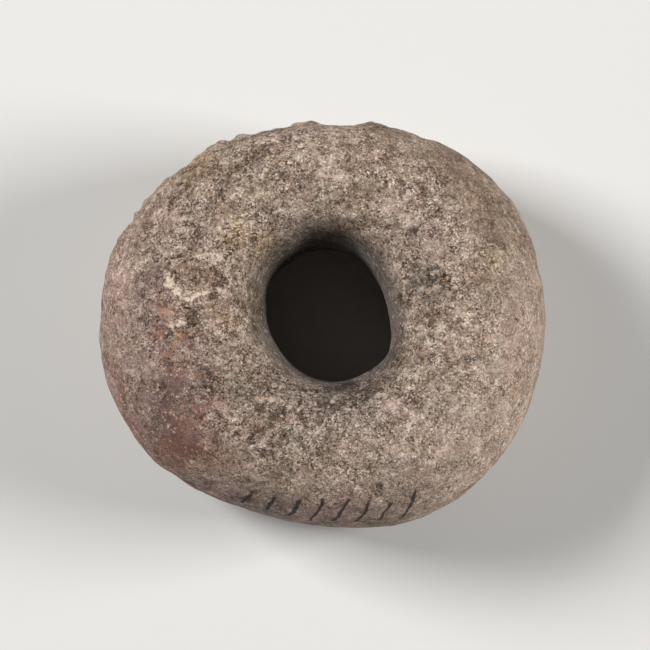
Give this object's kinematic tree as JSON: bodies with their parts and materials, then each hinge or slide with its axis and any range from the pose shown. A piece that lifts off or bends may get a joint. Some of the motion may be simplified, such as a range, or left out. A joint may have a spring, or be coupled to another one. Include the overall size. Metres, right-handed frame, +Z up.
{
  "type": "stone spindle whorl",
  "caption": "Hand-ground stone ring with a hole through it, slid on a spindle as its flywheel to keep it turning while thread is spun.",
  "frame": {"origin": "under the middle of the whorl, on the plane of the flat ring that it rests on", "axes": "+Z up along the hole, out of the face that the picture shows; +X along the whorl's widest line; +Y away from the viewer of the picture"},
  "size_m": [0.045, 0.041, 0.0205],
  "materials": {
    "stone": "matte"
  },
  "bodies": {
    "root": {"whorl": "stone"}
  },
  "joints": []
}
